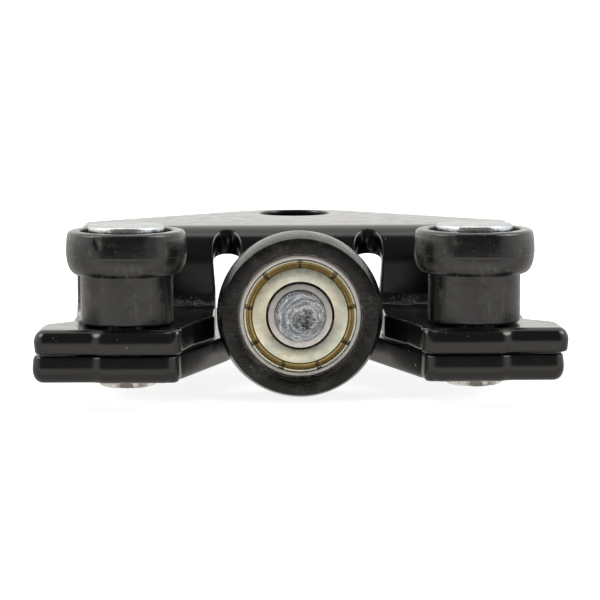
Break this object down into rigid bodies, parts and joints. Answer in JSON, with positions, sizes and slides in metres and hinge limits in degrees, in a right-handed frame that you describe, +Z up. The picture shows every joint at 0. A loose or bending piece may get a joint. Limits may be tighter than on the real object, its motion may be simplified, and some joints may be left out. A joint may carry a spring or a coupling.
{
  "type": "sliding door roller carriage",
  "caption": "Roller carriage for a sliding door: a bent steel bracket and lower plate carry guide rollers on upright pins and a ball-bearing load wheel on a level axle.",
  "frame": {"origin": "on the axis of the pivot hole, at the upper bracket's top face", "axes": "+X along the rail, +Y back from the rail towards the door arm, +Z up"},
  "size_m": [0.0912, 0.0775, 0.0317],
  "materials": {
    "black_paint": "gloss black electrophoretic paint on pressed sheet, with fine dust",
    "roller_plastic": "satin black moulded nylon with a parting line",
    "tyre_plastic": "satin black moulded tyre, moulded on to the bearing",
    "bright_zinc": "bright zinc plate, peened at the ends",
    "bearing_steel": "ground bearing steel",
    "shield_zinc": "pale gold zinc plate on a pressed shield with a crimped lip",
    "cage_steel": "pressed steel ribbon"
  },
  "bodies": {
    "carriage": {"upper_bracket": "black_paint", "lower_plate": "black_paint", "left_roller_pin": "bright_zinc", "right_roller_pin": "bright_zinc", "load_wheel_axle": "bright_zinc", "bearing_inner_ring": "bearing_steel"},
    "left_roller": {"left_guide_roller": "roller_plastic"},
    "right_roller": {"right_guide_roller": "roller_plastic"},
    "load_wheel": {"load_wheel_tyre": "tyre_plastic", "bearing_outer_ring": "bearing_steel", "bearing_front_shield": "shield_zinc", "bearing_rear_shield": "shield_zinc"},
    "ball_set": {"bearing_cage_front": "cage_steel", "bearing_cage_rear": "cage_steel", "bearing_ball_1": "bearing_steel", "bearing_ball_2": "bearing_steel", "bearing_ball_3": "bearing_steel", "bearing_ball_4": "bearing_steel", "bearing_ball_5": "bearing_steel", "bearing_ball_6": "bearing_steel", "bearing_ball_7": "bearing_steel"}
  },
  "joints": [
    {"name": "left_roller_spin", "type": "hinge", "parent": "carriage", "child": "left_roller", "pos_m": [-0.0304, -0.057, -0.006], "axis": [0, 0, 1], "continuous": true},
    {"name": "right_roller_spin", "type": "hinge", "parent": "carriage", "child": "right_roller", "pos_m": [0.0304, -0.057, -0.006], "axis": [0, 0, 1], "continuous": true},
    {"name": "load_wheel_spin", "type": "hinge", "parent": "carriage", "child": "load_wheel", "pos_m": [0, -0.0487, -0.014], "axis": [0, 1, 0], "continuous": true},
    {"name": "ball_set_spin", "type": "hinge", "parent": "carriage", "child": "ball_set", "pos_m": [0, -0.0487, -0.014], "axis": [0, 1, 0], "continuous": true}
  ],
  "couplings": [
    {"joint": "ball_set_spin", "follows": "load_wheel_spin", "ratio": 0.6323}
  ]
}
